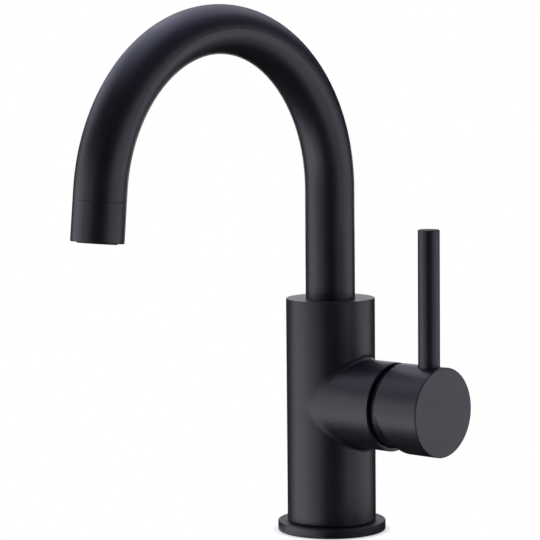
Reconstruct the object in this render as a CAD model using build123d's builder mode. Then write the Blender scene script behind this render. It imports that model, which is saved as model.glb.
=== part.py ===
from build123d import *
import os
from math import asin, cos, degrees, radians, sin, tan

# Single-hole bathroom sink faucet with a high-arch swivel spout and a side pin lever.
# All sizes in mm. +Z is up, the spout reaches towards -Y, the handle branch points to +X.
# The origin is on the faucet's upright axis, on the deck that the flange stands on.

os.makedirs("parts", exist_ok=True)

# Body and flange
body_r = 22.5
body_top = 118.7
flange_r = 27.4
flange_t = 5.0
spigot_r = 19.0
spigot_depth = 3.0
branch_r = 22.3
branch_z = 66.7
branch_end = 42.0
branch_fillet = 3.0

# Spout tube: riser, arch and straight outlet
tube_r = 12.5
tube_wall = 1.25
arch_r = 81.0
arch_z = 174.0
arch_angle = 174.0
arch_flattening = 0.045
outlet_length = 24.0

# Swivel joint of the spout in the body
swivel_r = 11.0
swivel_floor = 90.0
socket_floor = 114.5
socket_r = tube_r + 0.3
washer_t = 0.45
tube_foot = socket_floor + 0.05 + washer_t
groove_r = 8.9
seal_z = (96.6, 100.2)
slip_ring_z = (93.1, 111.5)
retainer_z = 106.1

# Socket screws: one keeps the spout in the body, one fixes the cap to the stem
screw_r = 2.5
key_half = 1.25
key_depth = 2.5

# Handle cap and lever
cap_r = 22.3
cap_bore_r = 20.5
cap_rear = 46.2
cap_front = 72.3
cap_face_t = 2.5
cap_slant = 22.5
lever_r = 5.4
lever_x = 63.4
lever_top = 156.4

# Cartridge, placed along the branch axis from its seat in the body
seat_x = 12.0
cartridge_r = 17.5
cavity_r = 15.2
shoulder_x = 33.4
neck_r = 13.5
neck_end = 41.0
rotor_r = 11.0
pivot_x = 40.0
stem_half = 4.5
stem_length = 27.0
stem_arm = 12.0
handle_tilt = 25.0
stem_lean = handle_tilt / 2
turn_range = 45.0
ball_r = 3.1
pin_r = 2.0
disc_t = 3.2
inlet_y = 7.5
inlet_z = 5.0
outlet_z = -6.0
port_r = 2.8
peg_y = 12.5
peg_r = 1.4
peg_depth = 2.0
nut_thread_r = 19.0
mouth_r = 20.6

# Dome cover round the cartridge neck, a ball about the stem's pivot
cover_r = 19.8
dome_r = 20.2
dome_inner_r = 18.6
dome_opening = 40.0
cover_rear = 38.2

# Clamp under the deck
shank_r = 16.0
shank_bore_r = 14.0
shank_top = 17.0
shank_bottom = -52.0
deck_t = 30.0
supply_r = 4.5
supply_floor = 36.0
supply_depth = 12.0
drill_r = 3.4
riser_x = -6.0
riser_r = 4.2

# Radial clearances: threads and press seats, running fits, and loose gaps
seat_gap = 0.02
run_gap = 0.05
loose_gap = 0.3


def branch_plane(x):
    """Plane across the branch axis at x, with local x along Y and local y up."""
    return Plane(origin=(x, 0, branch_z), x_dir=(0, 1, 0), z_dir=(1, 0, 0))


def rear_plane(x, y, z):
    """Plane through a point that faces the back of the faucet, with local x along X."""
    return Plane(origin=(x, y, z), x_dir=(1, 0, 0), z_dir=(0, 1, 0))


def stem_plane(distance):
    """Plane across the stem at a distance outward from its pivot, local x along Y."""
    lean = radians(stem_lean)
    outward = Vector(cos(lean), 0, sin(lean))
    centre = Vector(pivot_x, 0, branch_z) + outward * distance
    return Plane(origin=centre, x_dir=(0, 1, 0), z_dir=outward)


def arch_plane(angle):
    """Plane across the spout at an angle round the arch, with local y away from its centre."""
    turn = radians(angle)
    centre = (0, arch_r * (cos(turn) - 1), arch_z + arch_r * sin(turn))
    return Plane(origin=centre, x_dir=(1, 0, 0), z_dir=(0, -sin(turn), cos(turn)))


def outlet_plane(height):
    """Plane across the outlet at a height above its open end, facing up the tube."""
    end = arch_plane(arch_angle)
    centre = end.origin + end.z_dir * (outlet_length - height)
    return Plane(origin=centre, x_dir=(1, 0, 0), z_dir=end.z_dir * -1)


def write_step(piece, label):
    """Label a finished piece and write it to its own file."""
    piece.part.label = label
    export_step(piece.part, f"parts/{label}.step")


# Body casting: upright cylinder and side branch, with a spigot that centres the flange
with BuildPart() as body_casting:
    with BuildSketch(Plane.XY.offset(flange_t)):
        Circle(body_r)
    extrude(amount=body_top - flange_t)
    with BuildSketch(branch_plane(0)):
        Circle(branch_r)
    extrude(amount=branch_end)
    crossing = body_casting.edges().filter_by(GeomType.BSPLINE)
    fillet(crossing, branch_fillet)
    rims = body_casting.edges().filter_by(GeomType.CIRCLE)
    fillet(rims.sort_by(Axis.Z)[-1], 0.4)
    chamfer(rims.sort_by(Axis.Z)[0], 0.5)
    chamfer(rims.sort_by(Axis.X)[-1], 0.4)
    with BuildSketch(Plane.XY.offset(flange_t - spigot_depth)):
        Circle(spigot_r)
    extrude(amount=spigot_depth)
    # Threaded mouth for the shank, with the hose chamber above it
    with BuildSketch(Plane.XY.offset(flange_t - spigot_depth)):
        Circle(shank_r + run_gap)
    extrude(amount=shank_top - flange_t + spigot_depth, mode=Mode.SUBTRACT)
    with BuildSketch(Plane.XY.offset(shank_top)):
        Circle(shank_bore_r + 1)
    extrude(amount=supply_floor - shank_top, mode=Mode.SUBTRACT)
    # Hot and cold inlets: threaded at the bottom, drilled up to the cartridge seat
    with BuildSketch(Plane.XY.offset(supply_floor)):
        with Locations((0, inlet_y), (0, -inlet_y)):
            Circle(supply_r)
    extrude(amount=supply_depth, mode=Mode.SUBTRACT)
    with BuildSketch(Plane.XY.offset(supply_floor + supply_depth)):
        with Locations((0, inlet_y), (0, -inlet_y)):
            Circle(drill_r)
    extrude(amount=branch_z + inlet_z + drill_r - supply_floor - supply_depth, mode=Mode.SUBTRACT)
    with BuildSketch(branch_plane(0)):
        with Locations((inlet_y, inlet_z), (-inlet_y, inlet_z)):
            Circle(port_r)
    extrude(amount=seat_x, mode=Mode.SUBTRACT)
    # Mixed water outlet: across below the inlets, then up behind them to the spout
    with BuildSketch(branch_plane(riser_x)):
        with Locations((0, outlet_z)):
            Circle(port_r)
    extrude(amount=seat_x - riser_x, mode=Mode.SUBTRACT)
    riser_foot = branch_z + outlet_z - riser_r
    with BuildSketch(Plane.XY.offset(riser_foot)):
        with Locations((riser_x, 0)):
            Circle(riser_r)
    extrude(amount=swivel_floor - riser_foot, mode=Mode.SUBTRACT)
    # Cartridge chamber, nut thread and the open mouth round the cover
    with BuildSketch(branch_plane(seat_x)):
        Circle(cartridge_r + 0.1)
    extrude(amount=branch_end - seat_x, mode=Mode.SUBTRACT)
    with BuildSketch(branch_plane(shoulder_x - 1)):
        Circle(nut_thread_r)
    extrude(amount=branch_end - shoulder_x + 1, mode=Mode.SUBTRACT)
    with BuildSketch(branch_plane(cover_rear)):
        Circle(mouth_r)
    extrude(amount=branch_end - cover_rear, mode=Mode.SUBTRACT)
    with BuildSketch(branch_plane(seat_x)):
        with Locations((peg_y, 0), (-peg_y, 0)):
            Circle(peg_r + run_gap)
    extrude(amount=-peg_depth - loose_gap, mode=Mode.SUBTRACT)
    # Spout bore with the wider socket that the tube drops into
    with BuildSketch(Plane.XY.offset(swivel_floor)):
        Circle(swivel_r)
    extrude(amount=body_top - swivel_floor, mode=Mode.SUBTRACT)
    with BuildSketch(Plane.XY.offset(socket_floor)):
        Circle(socket_r)
    extrude(amount=body_top - socket_floor, mode=Mode.SUBTRACT)
    # Tapped hole at the back for the spout's set screw
    with BuildSketch(rear_plane(0, swivel_r - 1, retainer_z)):
        Circle(screw_r + seat_gap)
    extrude(amount=body_r, mode=Mode.SUBTRACT)
write_step(body_casting, "body_casting")

# Base flange: round escutcheon with a softened rim and a groove for its gasket
gasket_in = 21.0
gasket_out = 24.4
gasket_t = 1.5
gasket_gap = 0.1
with BuildPart() as base_flange:
    with BuildSketch():
        Circle(flange_r)
    extrude(amount=flange_t)
    fillet(base_flange.edges().sort_by(Axis.Z)[-1], 0.6)
    fillet(base_flange.edges().sort_by(Axis.Z)[0], 0.6)
    with BuildSketch():
        Circle(spigot_r + run_gap)
    extrude(amount=flange_t, mode=Mode.SUBTRACT)
    with BuildSketch():
        Circle(gasket_out)
        Circle(gasket_in, mode=Mode.SUBTRACT)
    extrude(amount=gasket_t, mode=Mode.SUBTRACT)
write_step(base_flange, "base_flange")

with BuildPart() as base_gasket:
    with BuildSketch():
        Circle(gasket_out - gasket_gap)
        Circle(gasket_in + gasket_gap, mode=Mode.SUBTRACT)
    extrude(amount=gasket_t)
write_step(base_gasket, "base_gasket")

# Mounting shank: hollow threaded tube, screwed into the body and through the deck
with BuildPart() as mounting_shank:
    with BuildSketch(Plane.XY.offset(shank_bottom)):
        Circle(shank_r)
    extrude(amount=shank_top - shank_bottom)
    chamfer(mounting_shank.edges().filter_by(GeomType.CIRCLE), 0.8)
    with BuildSketch(Plane.XY.offset(shank_bottom)):
        Circle(shank_bore_r)
    extrude(amount=shank_top - shank_bottom, mode=Mode.SUBTRACT)
write_step(mounting_shank, "mounting_shank")

# Clamp under the deck: rubber washer, steel washer and hexagon nut
rubber_t = 3.0
rubber_r = 27.0
steel_t = 1.5
steel_r = 26.0
washer_gap = 0.5
nut_t = 11.0
nut_flats = 42.0
with BuildPart() as rubber_washer:
    with BuildSketch(Plane.XY.offset(-deck_t - rubber_t)):
        Circle(rubber_r)
        Circle(shank_r + washer_gap, mode=Mode.SUBTRACT)
    extrude(amount=rubber_t)
write_step(rubber_washer, "rubber_washer")

with BuildPart() as steel_washer:
    with BuildSketch(Plane.XY.offset(-deck_t - rubber_t - steel_t)):
        Circle(steel_r)
        Circle(shank_r + washer_gap, mode=Mode.SUBTRACT)
    extrude(amount=steel_t)
write_step(steel_washer, "steel_washer")

nut_top = -deck_t - rubber_t - steel_t
with BuildPart() as mounting_nut:
    with BuildSketch(Plane.XY.offset(nut_top - nut_t)):
        RegularPolygon(nut_flats / 2, 6, major_radius=False)
    extrude(amount=nut_t)
    with BuildSketch(Plane.XY.offset(nut_top - nut_t)):
        Circle(nut_flats / 2 + 2)
    extrude(amount=nut_t, mode=Mode.INTERSECT)
    with BuildSketch(Plane.XY.offset(nut_top - nut_t)):
        Circle(nut_flats / 2)
    extrude(amount=nut_t, taper=-30, mode=Mode.INTERSECT)
    with BuildSketch(Plane.XY.offset(nut_top - nut_t)):
        Circle(shank_r + run_gap)
    extrude(amount=nut_t, mode=Mode.SUBTRACT)
write_step(mounting_nut, "mounting_nut")

# Spout tube: riser and arch, bent from one round tube that flattens a little in the bend
bend_stations = (0, 20, 87, 154, 174)


def bend_section(angle, radius):
    """Draw the tube's section at an angle of the arch, drawn in towards the bend's plane."""
    squeeze = arch_flattening * sin(radians(180 * angle / arch_angle)) ** 0.7
    with BuildSketch(arch_plane(angle)) as section:
        if squeeze > 0.001:
            Ellipse(radius * (1 + squeeze / 2), radius * (1 - squeeze))
        else:
            Circle(radius)
    return section.sketch


outer_sections = [bend_section(angle, tube_r) for angle in bend_stations]
inner_sections = [bend_section(angle, tube_r - tube_wall) for angle in bend_stations]
with BuildLine() as bend_line:
    CenterArc((0, 0), arch_r, 0, arch_angle)
bend_path = Plane(origin=(0, -arch_r, arch_z), x_dir=(0, 1, 0), z_dir=(1, 0, 0)) * bend_line.line

with BuildPart() as spout_tube:
    with BuildSketch(Plane.XY.offset(tube_foot)):
        Circle(tube_r)
    extrude(amount=arch_z - tube_foot)
    sweep(sections=outer_sections, path=bend_path, multisection=True)
    with BuildSketch(Plane.XY.offset(tube_foot)):
        Circle(tube_r - tube_wall)
    extrude(amount=arch_z - tube_foot, mode=Mode.SUBTRACT)
    sweep(sections=inner_sections, path=bend_path, multisection=True, mode=Mode.SUBTRACT)
write_step(spout_tube, "spout_tube")

# Outlet sleeve: straight end of the spout with the aerator's thread inside
aerator_r = 9.5
aerator_seat = 11.5
sleeve_bore_r = 8.6
plug_length = 4.0
plug_gap = 0.35
seam_break = 0.2
with BuildPart() as outlet_sleeve:
    with BuildSketch(outlet_plane(0)):
        Circle(tube_r)
    extrude(amount=outlet_length)
    fillet(outlet_sleeve.edges().sort_by(Axis.Z)[0], 0.6)
    chamfer(outlet_sleeve.edges().sort_by(Axis.Z)[-1], seam_break)
    with BuildSketch(outlet_plane(outlet_length)):
        Circle(tube_r - tube_wall - plug_gap)
    extrude(amount=plug_length)
    with BuildSketch(outlet_plane(0)):
        Circle(sleeve_bore_r)
    extrude(amount=outlet_length + plug_length, mode=Mode.SUBTRACT)
    with BuildSketch(outlet_plane(0)):
        Circle(aerator_r)
    extrude(amount=aerator_seat, mode=Mode.SUBTRACT)
write_step(outlet_sleeve, "outlet_sleeve")

# Aerator: threaded housing with key notches inside its mouth, honeycomb insert, dome screen, gasket
aerator_foot = -0.5
aerator_lip = 0.9
aerator_bore_r = 8.3
aerator_mouth_r = 7.6
key_notch_depth = 0.9
seal_h = 1.5
with BuildPart() as aerator_housing:
    with BuildSketch(outlet_plane(aerator_foot)):
        Circle(aerator_r - run_gap)
    extrude(amount=aerator_seat - seal_h - aerator_foot)
    chamfer(aerator_housing.edges().filter_by(GeomType.CIRCLE).sort_by(Axis.Z)[0], 0.3)
    with BuildSketch(outlet_plane(aerator_foot + aerator_lip)):
        Circle(aerator_bore_r)
    extrude(amount=aerator_seat, mode=Mode.SUBTRACT)
    with BuildSketch(outlet_plane(aerator_foot)):
        Circle(aerator_mouth_r)
        with PolarLocations(aerator_mouth_r, 4, start_angle=45):
            Rectangle(2 * key_notch_depth, 1.8)
    extrude(amount=aerator_lip, mode=Mode.SUBTRACT)
write_step(aerator_housing, "aerator_housing")

# Insert: honeycomb plate of four rings of cells, with a rim that carries the screen
insert_foot = aerator_foot + aerator_lip
insert_r = aerator_bore_r - run_gap
cell_half = 0.9
cell_pitch = 2.1
comb_t = 3.0
rim_h = 4.0
rim_t = 0.95
with BuildPart() as aerator_insert:
    with BuildSketch(outlet_plane(insert_foot)):
        Circle(insert_r)
    extrude(amount=comb_t)
    with BuildSketch(outlet_plane(insert_foot)):
        for ring in range(4):
            if ring == 0:
                RegularPolygon(cell_half, 6, major_radius=False)
            else:
                with PolarLocations(cell_pitch * ring, 6 * ring):
                    RegularPolygon(cell_half, 6, major_radius=False)
    extrude(amount=comb_t, mode=Mode.SUBTRACT)
    with BuildSketch(outlet_plane(insert_foot + comb_t)):
        Circle(insert_r)
        Circle(insert_r - rim_t, mode=Mode.SUBTRACT)
    extrude(amount=rim_h)
write_step(aerator_insert, "aerator_insert")

# Screen: flat rim with a raised cone of the same thickness
screen_foot = insert_foot + comb_t + rim_h
screen_r = aerator_bore_r - 0.1
screen_t = 0.5
cone_r = 6.8
cone_h = 2.2
cone_taper = 35
with BuildPart() as aerator_screen:
    with BuildSketch(outlet_plane(screen_foot)):
        Circle(screen_r)
    extrude(amount=screen_t)
    with BuildSketch(outlet_plane(screen_foot)):
        Circle(cone_r)
    extrude(amount=cone_h, taper=cone_taper)
    with BuildSketch(outlet_plane(screen_foot)):
        Circle(cone_r - screen_t)
    extrude(amount=cone_h - screen_t, taper=cone_taper, mode=Mode.SUBTRACT)
write_step(aerator_screen, "aerator_screen")

with BuildPart() as aerator_gasket:
    with BuildSketch(outlet_plane(aerator_seat - seal_h)):
        Circle(aerator_r - gasket_gap)
        Circle(aerator_bore_r + gasket_gap, mode=Mode.SUBTRACT)
    extrude(amount=seal_h)
write_step(aerator_gasket, "aerator_gasket")

# Spout base insert: turned spigot in the tube's foot, with grooves for its rings
insert_top = tube_foot + 14
insert_bore_r = 6.8
insert_gap = 0.1
spigot_foot = swivel_floor + 0.6
slip_groove_r = groove_r + 1
retainer_groove_r = groove_r - 0.3
seal_width = 2.4
ring_width = 3.0
retainer_width = 5.0
with BuildPart() as spout_base_insert:
    with BuildSketch(Plane.XY.offset(spigot_foot)):
        Circle(swivel_r - insert_gap)
    extrude(amount=tube_foot - spigot_foot)
    chamfer(spout_base_insert.edges().sort_by(Axis.Z)[0], 0.6)
    with BuildSketch(Plane.XY.offset(tube_foot)):
        Circle(tube_r - tube_wall - run_gap)
    extrude(amount=insert_top - tube_foot)
    with BuildSketch(Plane.XY.offset(spigot_foot)):
        Circle(insert_bore_r)
    extrude(amount=insert_top - spigot_foot, mode=Mode.SUBTRACT)
    for centre in seal_z:
        with BuildSketch(Plane.XY.offset(centre - seal_width / 2)):
            Circle(swivel_r)
            Circle(groove_r, mode=Mode.SUBTRACT)
        extrude(amount=seal_width, mode=Mode.SUBTRACT)
    for centre in slip_ring_z:
        with BuildSketch(Plane.XY.offset(centre - ring_width / 2)):
            Circle(swivel_r)
            Circle(slip_groove_r, mode=Mode.SUBTRACT)
        extrude(amount=ring_width, mode=Mode.SUBTRACT)
    with BuildSketch(Plane.XY.offset(retainer_z - retainer_width / 2)):
        Circle(swivel_r)
        Circle(retainer_groove_r, mode=Mode.SUBTRACT)
    extrude(amount=retainer_width, mode=Mode.SUBTRACT)
write_step(spout_base_insert, "spout_base_insert")

with BuildPart() as spout_o_rings:
    for centre in seal_z:
        with BuildSketch(Plane.XZ):
            with Locations(((groove_r + swivel_r) / 2, centre)):
                Circle((swivel_r - groove_r) / 2 - run_gap)
        revolve(axis=Axis.Z)
write_step(spout_o_rings, "spout_o_rings")

with BuildPart() as spout_slip_rings:
    for centre in slip_ring_z:
        with BuildSketch(Plane.XY.offset(centre - ring_width / 2 + insert_gap)):
            Circle(swivel_r - run_gap)
            Circle(slip_groove_r + run_gap, mode=Mode.SUBTRACT)
        extrude(amount=ring_width - 2 * insert_gap)
write_step(spout_slip_rings, "spout_slip_rings")

with BuildPart() as spout_thrust_washer:
    with BuildSketch(Plane.XY.offset(tube_foot - washer_t)):
        Circle(tube_r)
        Circle(swivel_r, mode=Mode.SUBTRACT)
    extrude(amount=washer_t)
write_step(spout_thrust_washer, "spout_thrust_washer")

# Set screw at the back of the body: its tip runs in the retaining groove
screw_tip_r = 1.9
screw_tip = retainer_groove_r + loose_gap
screw_step = swivel_r + 0.5
screw_back = body_r - 0.6
with BuildPart() as spout_set_screw:
    with BuildSketch(rear_plane(0, screw_tip, retainer_z)):
        Circle(screw_tip_r)
    extrude(amount=screw_step - screw_tip)
    with BuildSketch(rear_plane(0, screw_step, retainer_z)):
        Circle(screw_r)
    extrude(amount=screw_back - screw_step)
    with BuildSketch(rear_plane(0, screw_back, retainer_z)):
        RegularPolygon(key_half, 6, major_radius=False)
    extrude(amount=-key_depth, mode=Mode.SUBTRACT)
write_step(spout_set_screw, "spout_set_screw")

# Cartridge base: flanged plate with two pegs, three ports and their seal pockets
port_places = ((inlet_y, inlet_z), (-inlet_y, inlet_z), (0, outlet_z))
plate_t = 2.0
step_end = seat_x + 5.6
seal_t = 1.2
seal_rim = 1.4
with BuildPart() as cartridge_base:
    with BuildSketch(branch_plane(seat_x)):
        Circle(cartridge_r - 0.1)
    extrude(amount=plate_t)
    with BuildSketch(branch_plane(seat_x + plate_t)):
        Circle(cavity_r - run_gap)
    extrude(amount=step_end - seat_x - plate_t)
    with BuildSketch(branch_plane(seat_x)):
        with Locations((peg_y, 0), (-peg_y, 0)):
            Circle(peg_r)
    extrude(amount=-peg_depth)
    with BuildSketch(branch_plane(seat_x)):
        with Locations(port_places):
            Circle(port_r)
    extrude(amount=step_end - seat_x, mode=Mode.SUBTRACT)
    with BuildSketch(branch_plane(seat_x)):
        with Locations(port_places):
            Circle(port_r + seal_rim)
    extrude(amount=seal_t, mode=Mode.SUBTRACT)
    with BuildSketch(branch_plane(step_end)):
        with Locations(port_places):
            Circle(port_r + seal_rim)
        make_hull()
    extrude(amount=-seal_t, mode=Mode.SUBTRACT)
write_step(cartridge_base, "cartridge_base")

with BuildPart() as base_port_seals:
    with BuildSketch(branch_plane(seat_x)):
        with Locations(port_places):
            Circle(port_r + seal_rim - run_gap)
            Circle(port_r + gasket_gap, mode=Mode.SUBTRACT)
    extrude(amount=seal_t)
write_step(base_port_seals, "base_port_seals")

with BuildPart() as disc_seal:
    with BuildSketch(branch_plane(step_end)):
        with Locations(port_places):
            Circle(port_r + seal_rim - run_gap)
        make_hull()
        with Locations(port_places):
            Circle(port_r + gasket_gap, mode=Mode.SUBTRACT)
    extrude(amount=-seal_t)
write_step(disc_seal, "disc_seal")

# Ceramic discs: the fixed one has three ports, the moving one a pocket that joins them
key_notch_r = 1.6
with BuildPart() as fixed_ceramic_disc:
    with BuildSketch(branch_plane(step_end)):
        Circle(cavity_r - 0.2)
        with Locations(port_places):
            Circle(port_r, mode=Mode.SUBTRACT)
        with Locations((0, cavity_r), (0, -cavity_r)):
            Circle(key_notch_r, mode=Mode.SUBTRACT)
    extrude(amount=disc_t)
write_step(fixed_ceramic_disc, "fixed_ceramic_disc")

slide_start = -stem_arm * sin(radians(stem_lean))
disc_rear = step_end + disc_t
disc_front = disc_rear + disc_t
disc_r = 12.2
disc_flats = 22.0
pocket_depth = 2.0
drive_z = 10.2
drive_r = 1.2
drive_depth = 1.0
with BuildPart() as moving_ceramic_disc:
    with BuildSketch(branch_plane(disc_rear)):
        with Locations((0, slide_start)):
            Circle(disc_r)
            Rectangle(disc_flats, 2 * disc_r, mode=Mode.INTERSECT)
    extrude(amount=disc_t)
    with BuildSketch(branch_plane(disc_rear)) as pocket:
        with Locations((0, slide_start)):
            Polygon((-9.3, 4), (9.3, 4), (4.2, -9.6), (-4.2, -9.6), align=None)
        fillet(pocket.vertices(), 1.8)
    extrude(amount=pocket_depth, mode=Mode.SUBTRACT)
    with BuildSketch(branch_plane(disc_front)):
        with Locations((0, slide_start + drive_z), (0, slide_start - drive_z)):
            Circle(drive_r + run_gap)
    extrude(amount=-drive_depth - 0.2, mode=Mode.SUBTRACT)
write_step(moving_ceramic_disc, "moving_ceramic_disc")

# Disc carrier: takes the stem's ball in a square pocket and drives the moving disc
carrier_front = 29.4
carrier_seal_t = 1.0
carrier_seal_r = (6.2, 8.2)
pocket_floor_t = 0.7
with BuildPart() as disc_carrier:
    with BuildSketch(branch_plane(disc_front)):
        with Locations((0, slide_start)):
            Circle(disc_r)
            Rectangle(disc_flats, 2 * disc_r, mode=Mode.INTERSECT)
    extrude(amount=carrier_front - disc_front)
    with BuildSketch(branch_plane(disc_front)):
        with Locations((0, slide_start + drive_z), (0, slide_start - drive_z)):
            Circle(drive_r)
    extrude(amount=-drive_depth)
    with BuildSketch(branch_plane(disc_front)):
        with Locations((0, slide_start)):
            Circle(carrier_seal_r[1])
            Circle(carrier_seal_r[0], mode=Mode.SUBTRACT)
    extrude(amount=carrier_seal_t, mode=Mode.SUBTRACT)
    with BuildSketch(branch_plane(carrier_front)):
        with Locations((0, slide_start)):
            Rectangle(2 * (ball_r + run_gap), 2 * (ball_r + run_gap))
    extrude(amount=disc_front + pocket_floor_t - carrier_front, mode=Mode.SUBTRACT)
write_step(disc_carrier, "disc_carrier")

with BuildPart() as carrier_seal:
    with BuildSketch(branch_plane(disc_front)):
        with Locations((0, slide_start)):
            Circle(carrier_seal_r[1] - gasket_gap)
            Circle(carrier_seal_r[0] + gasket_gap, mode=Mode.SUBTRACT)
    extrude(amount=carrier_seal_t)
write_step(carrier_seal, "carrier_seal")

# Rotor: flange and guide legs inside the housing, neck with the slot that the stem tilts in
flange_rear = 29.7
flange_front = 31.5
wall_rear = flange_front + 0.1
rotor_end = 44.0
leg_rear = disc_front + 0.4
leg_gap = disc_flats / 2 + loose_gap
leg_half = 6.0
slot_half_y = stem_half + 0.2
slot_half_z = 7.0
lug_half = 2.5
lug_rear = 39.2
lug_r = 13.2
with BuildPart() as cartridge_rotor:
    with BuildSketch(branch_plane(flange_rear)):
        Circle(rotor_r)
    extrude(amount=rotor_end - flange_rear)
    chamfer(cartridge_rotor.faces().sort_by(Axis.X)[-1].edges(), 0.6)
    with BuildSketch(branch_plane(leg_rear)):
        Circle(cavity_r - loose_gap)
    extrude(amount=flange_front - leg_rear)
    with BuildSketch(branch_plane(leg_rear)):
        Rectangle(2 * leg_gap, 2 * cavity_r)
        with Locations((0, leg_half + cavity_r / 2), (0, -leg_half - cavity_r / 2)):
            Rectangle(2 * cavity_r, cavity_r)
    extrude(amount=flange_rear - leg_rear, mode=Mode.SUBTRACT)
    with BuildSketch(branch_plane(lug_rear)):
        with Locations((0, (rotor_r + lug_r) / 2 - 1)):
            Rectangle(2 * lug_half, lug_r - rotor_r + 2)
        Circle(lug_r, mode=Mode.INTERSECT)
    extrude(amount=neck_end - lug_rear)
    with BuildSketch(branch_plane(flange_rear)):
        Rectangle(2 * slot_half_y, 2 * slot_half_z)
    extrude(amount=rotor_end - flange_rear, mode=Mode.SUBTRACT)
    with BuildSketch(rear_plane(pivot_x, 0, branch_z)):
        Circle(pin_r + seat_gap)
    extrude(amount=rotor_r + 1, both=True, mode=Mode.SUBTRACT)
write_step(cartridge_rotor, "cartridge_rotor")

with BuildPart() as stem_pin:
    with BuildSketch(rear_plane(pivot_x, 0, branch_z)):
        Circle(pin_r)
    extrude(amount=rotor_r - 0.3, both=True)
    chamfer(stem_pin.edges().filter_by(GeomType.CIRCLE), 0.3)
write_step(stem_pin, "stem_pin")

# Cartridge housing: outer shell, neck, and the notch that limits the rotor's turn
notch_half = radians(turn_range + degrees(asin(lug_half / rotor_r)) + 1.5)
notch_far = 2 * neck_r
with BuildPart() as cartridge_housing:
    with BuildSketch(branch_plane(seat_x + plate_t)):
        Circle(cartridge_r)
    extrude(amount=shoulder_x - seat_x - plate_t)
    with BuildSketch(branch_plane(shoulder_x)):
        Circle(neck_r)
    extrude(amount=neck_end - shoulder_x)
    with BuildSketch(branch_plane(seat_x + plate_t)):
        Circle(cavity_r)
    extrude(amount=wall_rear - seat_x - plate_t, mode=Mode.SUBTRACT)
    with BuildSketch(branch_plane(wall_rear)):
        Circle(rotor_r + run_gap)
    extrude(amount=neck_end - wall_rear, mode=Mode.SUBTRACT)
    with BuildSketch(branch_plane(lug_rear - loose_gap)):
        Polygon(
            (0, 0),
            (notch_far * sin(notch_half), notch_far * cos(notch_half)),
            (0, notch_far),
            (-notch_far * sin(notch_half), notch_far * cos(notch_half)),
            align=None,
        )
    extrude(amount=neck_end - lug_rear + loose_gap, mode=Mode.SUBTRACT)
write_step(cartridge_housing, "cartridge_housing")

# Cartridge nut: outer thread in the branch, smaller thread for the cover, spanner slots
nut_end = 41.5
cover_thread_r = 18.5
slot_r = neck_r + 2.5
with BuildPart() as cartridge_nut:
    with BuildSketch(branch_plane(shoulder_x)):
        Circle(nut_thread_r - run_gap)
    extrude(amount=cover_rear - shoulder_x)
    with BuildSketch(branch_plane(cover_rear)):
        Circle(cover_thread_r)
    extrude(amount=nut_end - cover_rear)
    with BuildSketch(branch_plane(shoulder_x)):
        Circle(neck_r + 0.1)
    extrude(amount=nut_end - shoulder_x, mode=Mode.SUBTRACT)
    with BuildSketch(branch_plane(nut_end)):
        with PolarLocations(slot_r, 4, start_angle=45):
            Rectangle(8, 4)
    extrude(amount=-2, mode=Mode.SUBTRACT)
write_step(cartridge_nut, "cartridge_nut")

# Cover: trim sleeve that turns into a dome centred on the pivot, open in front of the stem
shoulder_angle = degrees(asin(cover_r / dome_r))
pivot = (pivot_x, branch_z)


def dome_point(radius, angle):
    """Point of the dome's profile at an angle from the branch axis."""
    return (pivot_x + radius * cos(radians(angle)), branch_z + radius * sin(radians(angle)))


with BuildPart() as cartridge_cover:
    with BuildSketch(Plane.XZ):
        with BuildLine():
            Line((cover_rear, branch_z + dome_inner_r), (cover_rear, branch_z + cover_r))
            Line((cover_rear, branch_z + cover_r), dome_point(dome_r, shoulder_angle))
            CenterArc(pivot, dome_r, shoulder_angle, dome_opening - shoulder_angle)
            Line(dome_point(dome_r, dome_opening), dome_point(dome_inner_r, dome_opening))
            CenterArc(pivot, dome_inner_r, dome_opening, 90 - dome_opening)
            Line((pivot_x, branch_z + dome_inner_r), (cover_rear, branch_z + dome_inner_r))
        make_face()
    revolve(axis=Axis((0, 0, branch_z), (1, 0, 0)))
write_step(cartridge_cover, "cartridge_cover")

# Stem: inner ball and finger, eye on the pin, square shank that carries the cap
eye_r = 5.4
finger_r = 2.3
with BuildPart() as cartridge_stem:
    with BuildSketch(stem_plane(0)):
        Rectangle(2 * stem_half, 2 * stem_half)
    extrude(amount=stem_length)
    chamfer(cartridge_stem.faces().sort_by(Axis.X)[-1].edges(), 0.6)
    with BuildSketch(rear_plane(pivot_x, 0, branch_z)):
        Circle(eye_r)
    extrude(amount=stem_half, both=True)
    with BuildSketch(stem_plane(0)):
        Circle(finger_r)
    extrude(amount=-stem_arm)
    with Locations(stem_plane(-stem_arm).location):
        Sphere(ball_r)
    with BuildSketch(rear_plane(pivot_x, 0, branch_z)):
        Circle(pin_r + run_gap)
    extrude(amount=stem_half, both=True, mode=Mode.SUBTRACT)
write_step(cartridge_stem, "cartridge_stem")

# Handle cap: thin hollow cap, cut on a slant at the lower rear so that it can tilt.
# Inside are a boss under the lever, a tower for the grub screw and the stem's socket.
hub_start = 13.0
hub_r = 7.5
lever_seat = 15.0
stud_depth = 5.0
stud_r = 3.0
boss_r = 8.0
tower_r = 4.2
cap_wall_room = cap_bore_r + 0.5
face_break = 0.25
rear_break = 0.3


def on_rear_rim(edge):
    """Tell whether an edge runs round the outside of the cap's rear opening."""
    middle = edge @ 0.5
    radius = (middle.Y ** 2 + (middle.Z - branch_z) ** 2) ** 0.5
    lengthwise = abs((edge % 0.5).X) > 0.99
    return abs(radius - cap_r) < 0.01 and middle.X < lever_x - lever_r and not lengthwise


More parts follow.
